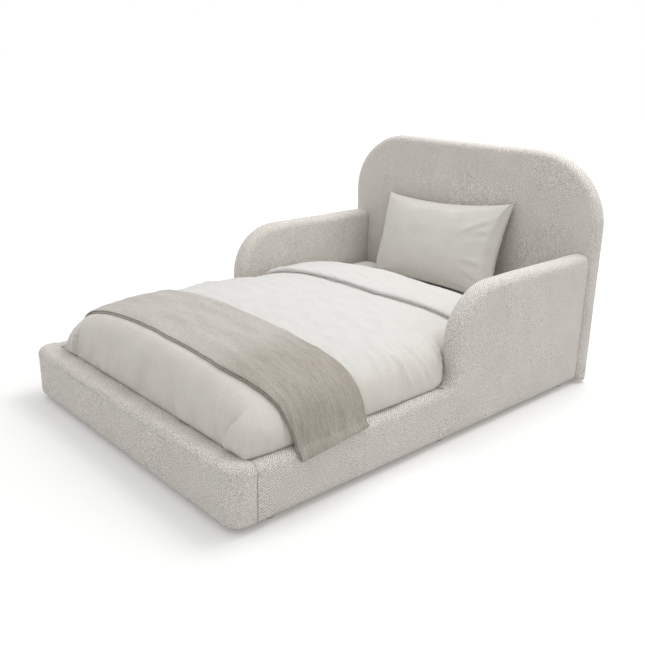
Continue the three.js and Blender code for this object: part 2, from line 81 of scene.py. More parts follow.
def noiseNode(tree, place, scale, detail=2.0, roughness=0.5, distortion=0.0):
    return addNode(tree, "ShaderNodeTexNoise", None,
                   {"Vector": place, "Scale": scale, "Detail": detail, "Roughness": roughness,
                    "Distortion": distortion}).outputs[0]


def mixValue(tree, share, low, high):
    return addNode(tree, "ShaderNodeMix", None, {0: share, 2: low, 3: high}).outputs[0]


def mixColour(tree, share, low, high, how="MIX"):
    return addNode(tree, "ShaderNodeMix", {"data_type": "RGBA", "blend_type": how},
                   {0: share, 6: low, 7: high}).outputs[2]


# ---- Camera, light and stage ---------------------------------------------------------------
cameraSet = {"position": (1.8014, -1.6034, 1.0434), "azimuth": 48.157, "elevation": 18.711,
             "roll": 0.668, "lens": 44.207, "sensor": 36, "reach": 60}


def makeCamera():
    az, el, roll = (math.radians(cameraSet[k]) for k in ("azimuth", "elevation", "roll"))
    back = Vector((math.sin(az) * math.cos(el), -math.cos(az) * math.cos(el), math.sin(el)))
    level = Vector((math.cos(az), math.sin(az), 0))
    rise = back.cross(level)
    right = level * math.cos(roll) + rise * math.sin(roll)
    up = rise * math.cos(roll) - level * math.sin(roll)
    data = bpy.data.cameras.new("camera")
    data.lens = cameraSet["lens"]
    data.sensor_width = cameraSet["sensor"]
    data.clip_end = cameraSet["reach"]
    camera = bpy.data.objects.new("camera", data)
    turn = Matrix((right, up, back)).transposed().to_4x4()
    camera.matrix_world = Matrix.Translation(cameraSet["position"]) @ turn
    scene.collection.objects.link(camera)
    scene.camera = camera


lightSet = {"fill": 0.86, "keyPower": 40, "keySize": 1.7, "keyAt": (0.38, 0.95, 2.6),
            "keyAim": (0, 0, 0.2), "floorShade": "#e4e4e3", "floorHalf": 9,
            "glow": (0.15, 0.40), "glowReach": (0.9, 2.3)}


def makeLights():
    data = bpy.data.lights.new("key", "AREA")  # a softbox hung above and behind the headboard
    data.energy = lightSet["keyPower"]
    data.shape = "SQUARE"
    data.size = lightSet["keySize"]
    key = bpy.data.objects.new("key", data)
    key.location = lightSet["keyAt"]
    away = Vector(lightSet["keyAt"]) - Vector(lightSet["keyAim"])
    key.rotation_mode = "QUATERNION"
    key.rotation_quaternion = away.to_track_quat("Z", "Y")
    scene.collection.objects.link(key)

    world = bpy.data.worlds.new("studio")
    world.use_nodes = True
    tree = world.node_tree
    tree.nodes.clear()
    rays = addNode(tree, "ShaderNodeLightPath").outputs
    seen = mathNode(tree, "MAXIMUM", rays["Is Camera Ray"], rays["Is Transmission Ray"])
    seen = mathNode(tree, "MAXIMUM", seen, rays["Is Glossy Ray"])
    level = ranged(tree, seen, 0.0, 1.0, lightSet["fill"], 1.0)  # pure white only where it is seen
    sky = addNode(tree, "ShaderNodeBackground", None, {"Color": (1, 1, 1, 1), "Strength": level})
    addNode(tree, "ShaderNodeOutputWorld", None, {"Surface": sky.outputs[0]})
    scene.world = world


def makeFloor():
    material = bpy.data.materials.new("studioPaper")  # matt white paper sweep
    material.use_nodes = True
    tree = material.node_tree
    tree.nodes.clear()
    rays = addNode(tree, "ShaderNodeLightPath").outputs
    seen = mathNode(tree, "MAXIMUM", rays["Is Camera Ray"], rays["Is Glossy Ray"])
    place = addNode(tree, "ShaderNodeTexCoord").outputs["Object"]
    far = addNode(tree, "ShaderNodeVectorMath", {"operation": "LENGTH"}, {0: place})
    spread = ranged(tree, far.outputs["Value"], *lightSet["glowReach"], *lightSet["glow"],
                    "SMOOTHSTEP")
    glow = mathNode(tree, "MULTIPLY", seen, spread)
    paper = addNode(tree, "ShaderNodeBsdfDiffuse", None, {"Color": linear(lightSet["floorShade"])})
    shine = addNode(tree, "ShaderNodeEmission", None, {"Strength": glow})
    both = addNode(tree, "ShaderNodeAddShader", None, {0: paper.outputs[0], 1: shine.outputs[0]})
    addNode(tree, "ShaderNodeOutputMaterial", None, {"Surface": both.outputs[0]})
    bm = bmesh.new()
    bmesh.ops.create_grid(bm, x_segments=1, y_segments=1, size=lightSet["floorHalf"])
    mesh = bpy.data.meshes.new("floor")
    bm.to_mesh(mesh)
    bm.free()
    mesh.materials.append(material)
    floor = bpy.data.objects.new("floor", mesh)
    scene.collection.objects.link(floor)


makeCamera()
makeLights()
makeFloor()
scene.view_settings.view_transform = "Standard"
print("stage: camera, key light, world and floor")


# ---- Finishes ------------------------------------------------------------------------------
diagonalBand = 0.4443  # metres between a wave node's diagonal bands at scale 1
straightBand = 0.6283  # twice the metres between its straight bands at scale 1


def newMaterial(name, roughness, sheen=0.0, metallic=0.0):
    material = bpy.data.materials.new(name)
    material.use_nodes = True
    tree = material.node_tree
    tree.nodes.clear()
    shader = addNode(tree, "ShaderNodeBsdfPrincipled", None,
                     {"Roughness": roughness, "Metallic": metallic, "Sheen Weight": sheen})
    addNode(tree, "ShaderNodeOutputMaterial", None, {"Surface": shader.outputs[0]})
    place = addNode(tree, "ShaderNodeTexCoord").outputs["Object"]
    return material, tree, shader, place


def dress(tree, shader, colour, height, strength, depth):  # sets the colour and adds relief
    tree.links.new(colour, shader.inputs["Base Color"])
    bump = addNode(tree, "ShaderNodeBump", None,
                   {"Height": height, "Strength": strength, "Distance": depth})
    tree.links.new(bump.outputs[0], shader.inputs["Normal"])


# Heavy woven upholstery, a cotton and wool twill: 5 mm diagonal ribs broken by slubby yarn of
# about 3 mm, which the eye reads as fine speckle over soft cloudy patches.
def makeUpholstery():
    material, tree, shader, place = newMaterial("wovenUpholstery", 0.95, 0.06)
    rib, pick, yarn, patch = 0.0050, 0.0038, 0.0030, 0.08
    laid = addNode(tree, "ShaderNodeUVMap", {"uv_map": "clothUV"}).outputs[0]
    ribs = addNode(tree, "ShaderNodeTexWave", {"bands_direction": "DIAGONAL"},
                   {"Vector": scaled(tree, laid, (1, -1, 1)), "Scale": diagonalBand / rib,
                    "Distortion": 3.2, "Detail": 2.0, "Detail Scale": 1.1,
                    "Detail Roughness": 0.6}).outputs["Fac"]
    weft = addNode(tree, "ShaderNodeTexWave", {"bands_direction": "DIAGONAL"},
                   {"Vector": laid, "Scale": diagonalBand / pick, "Distortion": 4.0,
                    "Detail": 2.0, "Detail Scale": 1.3}).outputs["Fac"]
    speck = ranged(tree, noiseNode(tree, place, 1 / yarn, 3.0, 0.75), 0.34, 0.66)
    weave = mixValue(tree, 0.58, mixValue(tree, 0.34, ribs, weft), speck)
    spread = ranged(tree, weave, 0.18, 0.82)
    tone = mixColour(tree, spread, linear("#98928a"), linear("#f5f1ea"))
    shade = ranged(tree, noiseNode(tree, place, 1 / patch), 0.3, 0.7, 0.97, 1.03)
    colour = addNode(tree, "ShaderNodeVectorMath", {"operation": "SCALE"},
                     {0: tone, "Scale": shade}).outputs[0]
    dress(tree, shader, colour, weave, 0.8, 0.0016)
    return material


# Washed cotton percale: matt, with a thread just below sight and faint cloudiness from washing.
def makeCotton(name, low, high, thread=0.0027, shadeColour=None):
    material, tree, shader, place = newMaterial(name, 0.9, 0.05)
    fine = noiseNode(tree, place, 1 / thread, 2.0, 0.7)
    cloud = noiseNode(tree, place, 22.0, 3.0, 0.6)
    spread = ranged(tree, mixValue(tree, 0.25, fine, cloud), 0.35, 0.65)
    colour = mixColour(tree, spread, linear(low), linear(high))
    if shadeColour:  # painted shade: the low sides and the foot end are tinted darker and warmer than the top
        axes = addNode(tree, "ShaderNodeSeparateXYZ", None, {0: place}).outputs
        height = ranged(tree, axes["Z"], 0.235, 0.315, kind="SMOOTHSTEP")
        length = ranged(tree, axes["Y"], -0.56, -0.40, kind="SMOOTHSTEP")
        litShare = mathNode(tree, "MULTIPLY", height, length)
        paintedShade = mixColour(tree, litShare, linear(shadeColour), (1, 1, 1, 1))
        colour = mixColour(tree, 1.0, colour, paintedShade, "MULTIPLY")
    creases = noiseNode(tree, scaled(tree, place, (22, 60, 40)), 1.0)
    relief = mathNode(tree, "MULTIPLY_ADD", creases, 3.0, fine)
    dress(tree, shader, colour, relief, 0.3, 0.0006)
    return material


# Brushed wool: the nap lies along the strip, so tone runs in streaks 25 mm long and 2 mm wide.
def makeWool():
    material, tree, shader, place = newMaterial("brushedWool", 0.95, 0.15)
    along = addNode(tree, "ShaderNodeUVMap", {"uv_map": "napUV"}).outputs[0]
    nap = noiseNode(tree, scaled(tree, along, (40, 420, 1)), 1.0, 3.0, 0.6)
    bands = noiseNode(tree, scaled(tree, along, (5, 26, 1)), 1.0)
    fuzz = noiseNode(tree, place, 300.0, 3.0, 0.75)
    pile = mixValue(tree, 0.2, mixValue(tree, 0.55, nap, fuzz), bands)
    spread = ranged(tree, pile, 0.36, 0.64)
    colour = mixColour(tree, spread, linear("#97928a"), linear("#c4c0b7"))
    # Painted shade: toward the strip's right end, over the right top and the hanging part, the
    # colour darkens, broken into lighter patches by noise.
    axes = addNode(tree, "ShaderNodeSeparateXYZ", None, {0: along}).outputs
    hangShade = ranged(tree, axes["X"], 0.88, 1.06, kind="SMOOTHSTEP")
    shadePatches = noiseNode(tree, scaled(tree, along, (12, 120, 1)), 1.0, 4.0, 0.65)
    shadeMask = mathNode(tree, "MULTIPLY", hangShade, ranged(tree, shadePatches, 0.34, 0.66, 0.5, 1.0))
    paintedShade = mixColour(tree, shadeMask, (1, 1, 1, 1), linear("#dad6d1"))  # painted shade, lighter in patches
    dress(tree, shader, mixColour(tree, 1.0, colour, paintedShade, "MULTIPLY"), pile, 0.6, 0.0014)
    return material


# Planed pine: rings 9 mm apart stretched along the board, with a fine fibre between them.
def makeTimber(name, low, high, lengthAxis, ring=0.009):
    material, tree, shader, place = newMaterial(name, 0.62)
    stretch = [1.0, 1.0, 1.0]
    stretch[lengthAxis] = 0.06
    lie = scaled(tree, place, stretch)
    rings = noiseNode(tree, lie, 1 / ring, distortion=0.6)
    fibre = noiseNode(tree, lie, 900.0, 2.0, 0.6)
    grain = mixValue(tree, 0.35, rings, fibre)
    colour = mixColour(tree, ranged(tree, grain, 0.35, 0.65), linear(low), linear(high))
    dress(tree, shader, colour, grain, 0.25, 0.0004)
    return material


# One builder for the plain finishes: two tones mixed by a grain of the given size, with relief.
def makeGrained(name, low, high, grain, roughness, relief, metallic=0.0):
    material, tree, shader, place = newMaterial(name, roughness, 0.0, metallic)
    speck = noiseNode(tree, place, 1 / grain, 3.0, 0.6)
    colour = mixColour(tree, ranged(tree, speck, 0.35, 0.65), linear(low), linear(high))
    rough = ranged(tree, speck, 0.0, 1.0, roughness - 0.06, roughness + 0.06)
    tree.links.new(rough, shader.inputs["Roughness"])
    dress(tree, shader, colour, speck, 0.3, relief)
    return material


# Woven stripe: mattress ticking and strap webbing, yarn stripes across one axis.
def makeStriped(name, ground, stripe, pitch, axis):
    material, tree, shader, place = newMaterial(name, 0.9)
    lines = addNode(tree, "ShaderNodeTexWave", {"bands_direction": axis},
                    {"Vector": place, "Scale": straightBand / pitch, "Distortion": 0.3})
    edge = ranged(tree, lines.outputs["Fac"], 0.75, 0.95)
    colour = mixColour(tree, edge, linear(ground), linear(stripe))
    dress(tree, shader, colour, noiseNode(tree, place, 600.0), 0.4, 0.0005)
    return material


upholstery = makeUpholstery()
# the duvet's low sides and foot end carry a slight painted shade
duvetCotton = makeCotton("washedDuvetCotton", "#c3c1bd", "#d1d0cd", shadeColour="#fdfaf4")
sheetCotton = makeCotton("sheetCotton", "#d2d0cb", "#e0deda")
pillowCotton = makeCotton("pillowCotton", "#c1beb8", "#cecbc5")
wool = makeWool()
slatPine = makeTimber("planedPineAcross", "#c9a46c", "#e6cb98", 0)
beamPine = makeTimber("planedPineAlong", "#c09a63", "#dfc28d", 1)
plywood = makeTimber("birchPlywood", "#b8925f", "#d6b787", 1, 0.014)
foam = makeGrained("cutPolyurethaneFoam", "#dcd2ae", "#efe7cb", 0.002, 0.95, 0.0008)
steel = makeGrained("powderCoatedSteel", "#1d1e20", "#303235", 0.0015, 0.5, 0.0002)
zinc = makeGrained("zincPlatedSteel", "#a9adb1", "#c6cacd", 0.003, 0.36, 0.0001, 1.0)
felt = makeGrained("pressedWoolFelt", "#a9a49a", "#c2bdb3", 0.0015, 0.95, 0.0004)
plastic = makeGrained("mouldedPolypropylene", "#161617", "#242426", 0.002, 0.55, 0.0002)
webbing = makeStriped("polyesterWebbing", "#dedad2", "#c6c2b8", 0.004, "X")
ticking = makeStriped("cottonTicking", "#eceae3", "#a9adb2", 0.024, "X")


def finishFor(name):
    starts = {"slat_strap": webbing, "slat": slatPine, "cleat": beamPine, "centre_beam": beamPine,
              "bracket": steel, "beam_hanger": steel, "rail_bolt": zinc, "end_bolt": zinc,
              "centre_leg": plastic, "glide": felt, "mattress": ticking}
    for start, finish in starts.items():
        if name.startswith(start):
            return finish
    if name.endswith("_foam"):
        return foam
    if name.endswith("_board"):
        return plywood
    return upholstery


for name, node in nodes.items():
    for place in node.material_slots:
        place.material = finishFor(name)
print("finishes made, and set on", len(nodes), "carried-over parts")


# ---- Shaping helpers -----------------------------------------------------------------------
def cornersAt(bm, points, near=1e-4):
    return [v for v in bm.verts if any((v.co - Vector(p)).length < near for p in points)]


def roundEdges(bm, geom, radius, steps, kind="EDGES"):
    bmesh.ops.bevel(bm, geom=geom, offset=radius, offset_type="OFFSET", segments=steps,
                    profile=0.5, affect=kind, clamp_overlap=False, material=-1)


def cutAt(bm, axis, value, clear=0):  # clear 1 removes what lies above the plane, -1 below
    normal = Vector((0, 0, 0))
    normal[axis] = 1
    bmesh.ops.bisect_plane(bm, geom=bm.verts[:] + bm.edges[:] + bm.faces[:], dist=1e-6,
                           plane_co=normal * value, plane_no=normal,
                           clear_outer=clear > 0, clear_inner=clear < 0)


def cutGrid(bm, axis, step):
    values = [v.co[axis] for v in bm.verts]
    low, high = min(values), max(values)
    count = max(1, round((high - low) / step))
    for i in range(1, count):
        cutAt(bm, axis, low + (high - low) * i / count)


def turnOut(bm):
    bmesh.ops.recalc_face_normals(bm, faces=bm.faces)


def closeHoles(bm):
    rims = [e for e in bm.edges if e.is_boundary]
    if rims:
        bmesh.ops.holes_fill(bm, edges=rims)


def dropFaces(bm, inside):  # removes the faces whose middle passes the test
    gone = [f for f in bm.faces if inside(f.calc_center_median())]
    bmesh.ops.delete(bm, geom=gone, context="FACES")


def onlyVerts(geom):
    return [g for g in geom if isinstance(g, bmesh.types.BMVert)]


def slabFrom(bm, axis, thickness, rim, rimSteps):  # thickens a flat outline and rounds its rims
    face = bm.faces[:]
    grown = bmesh.ops.extrude_face_region(bm, geom=face)["geom"]
    shift = Vector((0, 0, 0))
    shift[axis] = thickness
    bmesh.ops.translate(bm, vec=shift, verts=onlyVerts(grown))
    flat = [e for e in bm.edges if abs(e.verts[0].co[axis] - e.verts[1].co[axis]) < 1e-6]
    roundEdges(bm, flat, rim, rimSteps)
    bmesh.ops.remove_doubles(bm, verts=bm.verts, dist=1e-5)
    turnOut(bm)


def cloudAt(point, size, seed=0.0):
    return noise.noise(Vector((point[0] / size + seed, point[1] / size, point[2] / size)))


def softenCover(bm, rise, size, hold, seed):  # hand-pulled cloth is never flat: it swells outwards
    bm.normal_update()
    moves = []
    for v in bm.verts:
        swell = 0.55 + 0.8 * cloudAt(v.co, size, seed) + 0.25 * cloudAt(v.co, size / 3, seed + 7)
        moves.append(v.normal * rise * max(0.0, min(1.0, swell)) * hold(v.co))
    for v, move in zip(bm.verts, moves):
        v.co += move


def fade(distance, reach):  # 0 at an edge, 1 once further from it than reach
    t = max(0.0, min(1.0, distance / reach))
    return t * t * (3 - 2 * t)


def layCloth(bm, axis, track, turn=1, shift=0.0):  # UV in metres, panels square, edges run round
    bm.normal_update()
    layer = bm.loops.layers.uv.new("clothUV")
    across, up = [a for a in range(3) if a != axis]
    for f in bm.faces:
        onPanel = abs(f.normal[axis]) > 0.72
        for loop in f.loops:
            p = loop.vert.co
            if onPanel:
                loop[layer].uv = (turn * p[across], p[up] + shift)
            else:
                loop[layer].uv = (turn * track(p), abs(p[axis]))


def addPiece(name, bm, body, material, replaced=()):
    mesh = bpy.data.meshes.new(name)
    bm.to_mesh(mesh)
    bm.free()
    mesh.materials.append(material)
    mesh.shade_smooth()
    piece = bpy.data.objects.new(name, mesh)
    scene.collection.objects.link(piece)
    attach(piece, body)
    if replaced:
        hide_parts(*replaced)
    return piece


def thicken(piece, cloth, offset=-1):
    wall = piece.modifiers.new("cloth", "SOLIDIFY")
    wall.thickness = cloth
    wall.offset = offset


def smoothOnce(piece):
    soft = piece.modifiers.new("soft", "SUBSURF")
    soft.levels = soft.render_levels = 1


# ---- Upholstered boards --------------------------------------------------------------------
coverSet = {"cloth": 0.002, "buttRound": 0.0040, "swell": 0.002, "cloudSize": 0.11, "grid": 0.022}
railSet = {"rim": 0.023, "rimSteps": 6, "low": 0.166, "top": 0.443, "front": 0.0335, "curve": 0.172,
           "fillet": 0.035, "wellCut": 0.104, "coreInner": 0.4877, "coreOuter": 0.5133}


def railTrack(p):  # run round the rail's outline, low rail first, then up and over the guard
    front, fillet, bend = railSet["front"], railSet["fillet"], railSet["curve"]
    foot, low = front - fillet, railSet["low"] + fillet
    if p.y < foot or p.z < 0.05:
        return p.y
    if p.z < low and p.y < front + 0.012:
        return foot + fillet * math.atan2(p.y - foot, low - p.z)
    run, turn = foot + fillet * math.pi / 2, railSet["top"] - bend
    if p.z < turn:
        return run + p.z - low
    run += turn - low
    if p.y < front + bend:
        return run + bend * math.atan2(p.z - turn, front + bend - p.y)
    return run + bend * math.pi / 2 + p.y - front - bend


def makeRailCover(side):
    word = "right" if side > 0 else "left"
    low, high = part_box(word + "_rail_cover")
    inner, outer = (low.x, high.x) if side > 0 else (-high.x, -low.x)
    y0, y1, z0, top = low.y, high.y, low.z, high.z
    past = 2 * railSet["rim"]
    bm = bmesh.new()
    outline = [(y0 - past, z0), (y1 + past, z0), (y1 + past, top), (railSet["front"], top),
               (railSet["front"], railSet["low"]), (y0 - past, railSet["low"])]
    bm.faces.new([bm.verts.new((inner, y, z)) for y, z in outline])
    crest = (inner, railSet["front"], top)
    crook = (inner, railSet["front"], railSet["low"])
    roundEdges(bm, cornersAt(bm, [crest]), railSet["curve"], 18, "VERTICES")
    roundEdges(bm, cornersAt(bm, [crook]), railSet["fillet"], 8, "VERTICES")
    slabFrom(bm, 0, outer - inner, railSet["rim"], railSet["rimSteps"])
    cutAt(bm, 1, y0, -1)
    cutAt(bm, 1, y1, 1)
    closeHoles(bm)
    butt = [e for e in bm.edges if any(all(abs(v.co.y - end) < 1e-5 for v in e.verts)
                                       for end in (y0, y1))]
    roundEdges(bm, butt, coverSet["buttRound"], 2)
    turnOut(bm)
    for axis in (1, 2):
        cutGrid(bm, axis, coverSet["grid"])
    cutAt(bm, 2, railSet["wellCut"])
    for x in (railSet["coreInner"], railSet["coreOuter"]):
        cutAt(bm, 0, x)
    dropFaces(bm, lambda c: c.x < railSet["coreInner"] and c.z < railSet["wellCut"])
    dropFaces(bm, lambda c: c.x < railSet["coreOuter"] and c.z < z0 + 0.0005)

    def hold(p):
        return fade(min(p.y - y0, y1 - p.y), 0.03) * fade(p.z - z0, 0.03)

    softenCover(bm, coverSet["swell"], coverSet["cloudSize"], hold, 3.0 if side > 0 else 11.0)
    layCloth(bm, 0, railTrack, -1)
    if side < 0:
        bmesh.ops.scale(bm, vec=(-1, 1, 1), verts=bm.verts)
        bmesh.ops.reverse_faces(bm, faces=bm.faces)
    piece = addPiece(word + "RailCover", bm, "base", upholstery,
                     [word + "_rail_cover"])
    thicken(piece, coverSet["cloth"])
    print(word, "rail cover:", len(piece.data.polygons), "faces")
    return piece


headSet = {"halfWidth": 0.545, "top": 0.752, "shoulderX": 0.248, "shoulderZ": 0.230,
           "rim": 0.019, "rimSteps": 6, "panelInset": 0.022, "panelRim": 0.0016,
           "boardX": 0.5227, "boardY": 0.7003}


def headOutline(low, high, grow, y):
    half, top = high.x - grow, high.z - grow
    z0 = low.z
    stretch = (headSet["shoulderX"] - grow) / (headSet["shoulderZ"] - grow)
    bm = bmesh.new()
    points = [(-half, z0), (half, z0), (half, top), (-half, top)]
    bm.faces.new([bm.verts.new((x, y, z * stretch)) for x, z in points])
    shoulders = cornersAt(bm, [(x, y, top * stretch) for x in (half, -half)])
    roundEdges(bm, shoulders, headSet["shoulderX"] - grow, 24, "VERTICES")
    bmesh.ops.scale(bm, vec=(1, 1, 1 / stretch), verts=bm.verts)
    return bm


def headTrack(p):
    centreX = headSet["halfWidth"] - headSet["shoulderX"]
    centreZ = headSet["top"] - headSet["shoulderZ"]
    bend = (headSet["shoulderX"] + headSet["shoulderZ"]) / 2
    if p.z < 0.04:
        return p.x
    if p.z < centreZ:
        return p.z
    if abs(p.x) > centreX:
        return centreZ + bend * math.atan2(p.z - centreZ, abs(p.x) - centreX)
    return centreZ + bend * math.pi / 2 + centreX - abs(p.x)


def makeHeadboardCover():
    low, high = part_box("headboard_cover")
    bm = headOutline(low, high, 0.0, low.y)
    slabFrom(bm, 1, high.y - low.y, headSet["rim"], headSet["rimSteps"])
    back = [f for f in bm.faces if f.calc_center_median().y > high.y - 1e-5 and len(f.verts) > 8]
    bmesh.ops.inset_region(bm, faces=back, thickness=headSet["panelInset"] - headSet["rim"],
                           use_even_offset=True)
    bmesh.ops.delete(bm, geom=[f for f in back if f.is_valid], context="FACES")
    for axis in (0, 2):
        cutGrid(bm, axis, coverSet["grid"])
    for x in (-headSet["boardX"], headSet["boardX"]):
        cutAt(bm, 0, x)
    cutAt(bm, 1, headSet["boardY"])
    for x in (-railSet["coreInner"], railSet["coreInner"]):
        cutAt(bm, 0, x)
    cutAt(bm, 2, railSet["wellCut"])
    dropFaces(bm, lambda c: abs(c.x) < headSet["boardX"] and c.y > headSet["boardY"]
              and c.z < low.z + headSet["panelInset"] + 0.001)
    dropFaces(bm, lambda c: abs(c.x) < railSet["coreInner"] and c.y < headSet["boardY"]
              and c.z < railSet["wellCut"])

    def hold(p):
        behind = fade(high.y - p.y, 0.01)
        return behind * fade(p.z - low.z, 0.03) * (0.35 if p.y > high.y - 0.02 else 1.0)

    softenCover(bm, coverSet["swell"], 0.16, hold, 23.0)
    layCloth(bm, 1, headTrack)
    piece = addPiece("headboardCover", bm, "base", upholstery,
                     ["headboard_cover"])
    thicken(piece, coverSet["cloth"])
    print("headboard cover:", len(piece.data.polygons), "faces")


def makeBackPanel():  # a thin board wrapped in the same cloth, tacked on behind
    low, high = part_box("headboard_back_panel")
    half = headSet["halfWidth"]
    outer = (Vector((-half, 0, low.z)), Vector((half, 0, headSet["top"])))
    bm = headOutline(*outer, headSet["panelInset"], low.y + 0.0003)
    slabFrom(bm, 1, high.y - low.y, headSet["panelRim"], 3)
    for axis in (0, 2):
        cutGrid(bm, axis, 0.04)
    softenCover(bm, 0.0012, 0.2, lambda p: 1.0 if p.y > high.y - 0.001 else 0.0, 31.0)
    layCloth(bm, 1, headTrack)
    piece = addPiece("headboardBackPanel", bm, "base", upholstery,
                     ["headboard_back_panel"])
    print("back panel:", len(piece.data.polygons), "faces")


footSet = {"halfWidth": 0.533, "front": -0.7285, "butt": -0.6605, "rim": 0.021, "rimSteps": 6,
           "corner": 0.050, "cornerSteps": 12, "weaveShift": 0.8985, "boardX": 0.5133,
           "boardFront": -0.7048, "boardBack": -0.6792, "seamUnder": 0.019, "seamRise": 0.0012,
           "seamHalf": 0.0022}


def footTrack(p):
    bend, way = footSet["corner"], 1 if p.x > 0 else -1
    centreX, centreY = footSet["halfWidth"] - bend, footSet["front"] + bend
    if abs(p.x) < centreX or p.y > footSet["butt"]:
        return p.x
    if p.y < centreY:
        return way * (centreX + bend * math.atan2(abs(p.x) - centreX, centreY - p.y))
    return way * (centreX + bend * math.pi / 2 + p.y - centreY)


def makeFootboardCover():
    low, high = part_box("footboard_cover")
    past = footSet["rim"]
    bm = bmesh.new()
    outline = [(low.x, low.y), (high.x, low.y), (high.x, high.y + past), (low.x, high.y + past)]
    bm.faces.new([bm.verts.new((x, y, low.z)) for x, y in outline])
    front = cornersAt(bm, [(low.x, low.y, low.z), (high.x, low.y, low.z)])
    roundEdges(bm, front, footSet["corner"], footSet["cornerSteps"], "VERTICES")
    slabFrom(bm, 2, high.z - low.z, footSet["rim"], footSet["rimSteps"])
    cutAt(bm, 1, high.y, 1)
    closeHoles(bm)
    butt = [e for e in bm.edges if all(abs(v.co.y - high.y) < 1e-5 for v in e.verts)]
    roundEdges(bm, butt, coverSet["buttRound"], 2)
    turnOut(bm)
    for axis in (0, 2):
        cutGrid(bm, axis, coverSet["grid"])
    seam = high.z - footSet["seamUnder"]
    for offset in (-footSet["seamHalf"], 0.0, footSet["seamHalf"]):
        cutAt(bm, 2, seam + offset)
    cutAt(bm, 2, railSet["wellCut"])
    for x in (footSet["boardX"], railSet["coreInner"]):
        cutAt(bm, 0, x)
        cutAt(bm, 0, -x)
    cutAt(bm, 1, footSet["boardFront"])
    cutAt(bm, 1, footSet["boardBack"])
    dropFaces(bm, lambda c: abs(c.x) < footSet["boardX"] and c.z < low.z + 0.0005
              and footSet["boardFront"] < c.y < footSet["boardBack"])
    dropFaces(bm, lambda c: abs(c.x) < railSet["coreInner"] and c.z < railSet["wellCut"]
              and c.y > footSet["boardBack"])
    bm.normal_update()
    welt = [v for v in bm.verts if abs(v.co.z - seam) < 1e-5 and v.co.y < high.y - 0.004]
    moves = [v.normal * footSet["seamRise"] * fade(0.50 - v.co.x, 0.25) for v in welt]
    for v, move in zip(welt, moves):
        v.co += move

    def hold(p):
        return fade(high.y - p.y, 0.02) * fade(p.z - low.z, 0.03)

    softenCover(bm, coverSet["swell"], coverSet["cloudSize"], hold, 41.0)
    layCloth(bm, 2, footTrack, 1, footSet["weaveShift"])
    piece = addPiece("footboardCover", bm, "base", upholstery,
                     ["footboard_cover"])
    thicken(piece, coverSet["cloth"])
    print("footboard cover:", len(piece.data.polygons), "faces")


makeRailCover(1)
makeRailCover(-1)
makeHeadboardCover()
makeBackPanel()
makeFootboardCover()
print("upholstery done")


# ---- Mattress and fitted sheet -------------------------------------------------------------
beddingSet = {"corner": 0.040, "edge": 0.026, "clothGap": 0.0023, "underlap": 0.060,
              "side": 0.140, "sheetCloth": 0.002, "sheetPull": 0.0009}


def roundedBlock(low, high, corner, edge, grid):
    bm = bmesh.new()
    bmesh.ops.create_cube(bm, size=1.0)
    bmesh.ops.scale(bm, vec=high - low, verts=bm.verts)
    bmesh.ops.translate(bm, vec=(low + high) / 2, verts=bm.verts)
    upright = [e for e in bm.edges if abs(e.verts[0].co.z - e.verts[1].co.z) > 1e-4]
    roundEdges(bm, upright, corner, 8)
    flat = [e for e in bm.edges if abs(e.verts[0].co.z - e.verts[1].co.z) < 1e-6]
    roundEdges(bm, flat, edge, 6)
    bmesh.ops.remove_doubles(bm, verts=bm.verts, dist=1e-5)
    turnOut(bm)
    for axis in (0, 1):
        cutGrid(bm, axis, grid)
    return bm


def makeMattress():
    low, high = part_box("mattress")
    bm = roundedBlock(low, high, beddingSet["corner"], beddingSet["edge"], 0.05)
    piece = addPiece("mattressCore", bm, "mattress_set", ticking, ["mattress"])


def makeFittedSheet():
    low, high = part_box("fitted_sheet")
    skin = beddingSet["clothGap"]
    bm = roundedBlock(low, high, beddingSet["corner"] + skin, beddingSet["edge"] + skin, 0.014)
    hemX, hemY = high.x - beddingSet["underlap"], (high.y - low.y) / 2 - beddingSet["underlap"]
    middle = (low.y + high.y) / 2
    for x in (-hemX, hemX):
        cutAt(bm, 0, x)
    for y in (middle - hemY, middle + hemY):
        cutAt(bm, 1, y)
    dropFaces(bm, lambda c: c.z < low.z + 0.0005 and abs(c.x) < hemX and abs(c.y - middle) < hemY)

    def hold(p):
        return fade(p.z - 0.2, 0.04)

    bm.normal_update()
    for v in bm.verts:
        pull = cloudAt((v.co.x * 0.5, v.co.y * 1.6, 0), 0.05, 51.0)
        v.co += v.normal * beddingSet["sheetPull"] * max(0.0, 0.35 + pull) * hold(v.co)
    piece = addPiece("fittedSheet", bm, "mattress_set", sheetCotton,
                     ["fitted_sheet"])
    thicken(piece, beddingSet["sheetCloth"])


